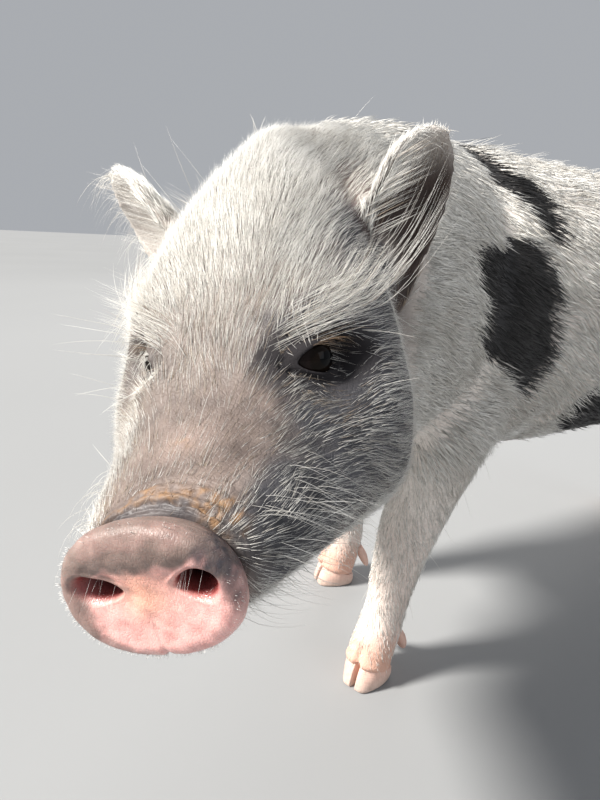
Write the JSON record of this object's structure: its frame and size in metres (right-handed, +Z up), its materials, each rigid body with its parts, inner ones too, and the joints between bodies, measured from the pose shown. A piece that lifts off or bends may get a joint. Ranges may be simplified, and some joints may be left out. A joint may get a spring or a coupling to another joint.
{
  "type": "domestic pig",
  "caption": "young miniature pig standing with its head turned to its left, white bristly coat with black patches, still life-size model",
  "frame": {"origin": "on the floor under the middle of the box round the whole animal", "axes": "+Z up, the trunk lies along Y with the head end towards -Y, and the pig's left side is towards +X; the head is turned towards +X"},
  "size_m": [0.3082, 0.6764, 0.3607],
  "materials": {
    "coat": "white and cream bristles over pink and grey skin, with black patches",
    "snout_skin": "moist bare skin, pink below and brown-grey at the top rim",
    "eye": "wet and nearly black",
    "horn": "pink translucent horn"
  },
  "bodies": {
    "root": {"claw_front_left_inner": "horn", "claw_front_left_outer": "horn", "claw_front_right_inner": "horn", "claw_front_right_outer": "horn", "claw_hind_left_inner": "horn", "claw_hind_left_outer": "horn", "claw_hind_right_inner": "horn", "claw_hind_right_outer": "horn", "dewclaw_front_left_inner": "horn", "dewclaw_front_left_outer": "horn", "dewclaw_front_right_inner": "horn", "dewclaw_front_right_outer": "horn", "dewclaw_hind_left_inner": "horn", "dewclaw_hind_left_outer": "horn", "dewclaw_hind_right_inner": "horn", "dewclaw_hind_right_outer": "horn", "ear_left": "coat", "ear_right": "coat", "eye_left": "eye", "eye_right": "eye", "head": "coat", "leg_front_left": "coat", "leg_front_right": "coat", "leg_hind_left": "coat", "leg_hind_right": "coat", "neck": "coat", "snout_disc": "snout_skin", "tail": "coat", "torso": "coat"}
  },
  "joints": []
}
